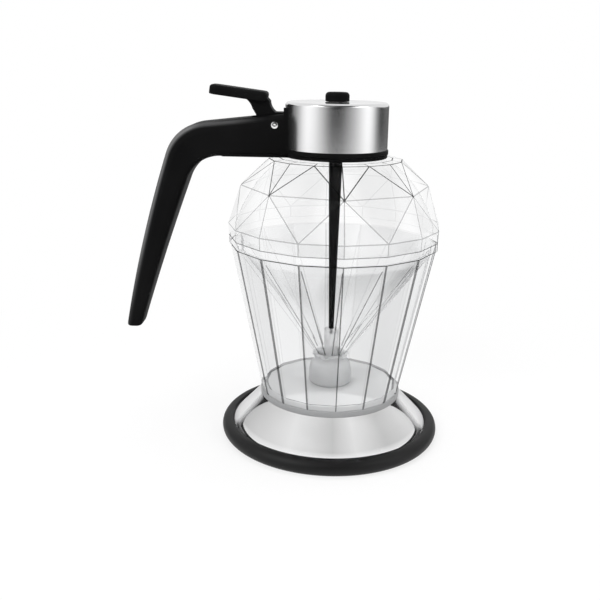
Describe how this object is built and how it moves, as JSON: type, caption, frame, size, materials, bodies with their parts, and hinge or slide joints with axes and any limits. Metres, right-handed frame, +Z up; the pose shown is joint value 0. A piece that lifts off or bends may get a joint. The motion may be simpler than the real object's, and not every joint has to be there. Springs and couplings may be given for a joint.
{
  "type": "honey dispenser",
  "caption": "Honey dispenser: clear faceted jar with a steel-capped lid, side handle and thumb lever that lifts a rod from the bottom outlet, standing in a faceted drip cup on a flared foot.",
  "frame": {"origin": "on the jar's axis, at the level of the table under the foot ring", "axes": "+Z up, -X towards the handle and the thumb lever, +Y across the handle"},
  "size_m": [0.1356, 0.095, 0.15],
  "materials": {
    "clear_glass": "clear, polished",
    "black_plastic": "satin, moulded",
    "black_rubber": "satin",
    "grey_silicone": "matt, translucent",
    "clear_silicone": "smooth, translucent",
    "white_plastic": "smooth, moulded",
    "brushed_steel": "polished, fine brushing round the drum",
    "plated_steel": "bright"
  },
  "bodies": {
    "stand": {"stand_cup": "clear_glass", "stand_band": "grey_silicone", "stand_skirt": "clear_glass", "foot_ring": "black_rubber"},
    "jar": {"jar_dome": "clear_glass", "jar_funnel": "clear_glass", "outlet_nozzle": "grey_silicone"},
    "gasket": {"neck_gasket": "clear_silicone"},
    "lid": {"handle": "black_plastic", "lid_insert": "white_plastic", "steel_cap": "brushed_steel", "rod_seal": "clear_silicone", "rod_bushing": "white_plastic", "lever_pin": "plated_steel", "return_spring": "plated_steel"},
    "lever": {"lever": "black_plastic"},
    "plunger": {"plunger_rod": "black_plastic", "valve_stopper": "clear_silicone", "lift_washer": "plated_steel", "rod_clip": "plated_steel", "knob": "black_plastic"}
  },
  "joints": [
    {"name": "jar_lift", "type": "slide", "parent": "stand", "child": "jar", "axis": [0, 0, 1], "range_m": [0, 0.08]},
    {"name": "lid_lift", "type": "slide", "parent": "jar", "child": "gasket", "axis": [0, 0, 1], "range_m": [0, 0.12]},
    {"name": "lid_turn", "type": "hinge", "parent": "gasket", "child": "lid", "pos_m": [0, 0, 0.127], "axis": [0, 0, 1], "range_deg": [0, 450]},
    {"name": "lever_press", "type": "hinge", "parent": "lid", "child": "lever", "pos_m": [-0.0246, 0, 0.1337], "axis": [0, -1, 0], "range_deg": [0, 10], "stiffness_Nm_per_rad": 0.3, "springref_deg": -9.17},
    {"name": "plunger_lift", "type": "slide", "parent": "lid", "child": "plunger", "axis": [0, 0, 1], "range_m": [0, 0.0044], "deforming": ["return_spring"]}
  ],
  "couplings": [
    {"joint": "plunger_lift", "follows": "lever_press", "m_per_rad": 0.025}
  ]
}
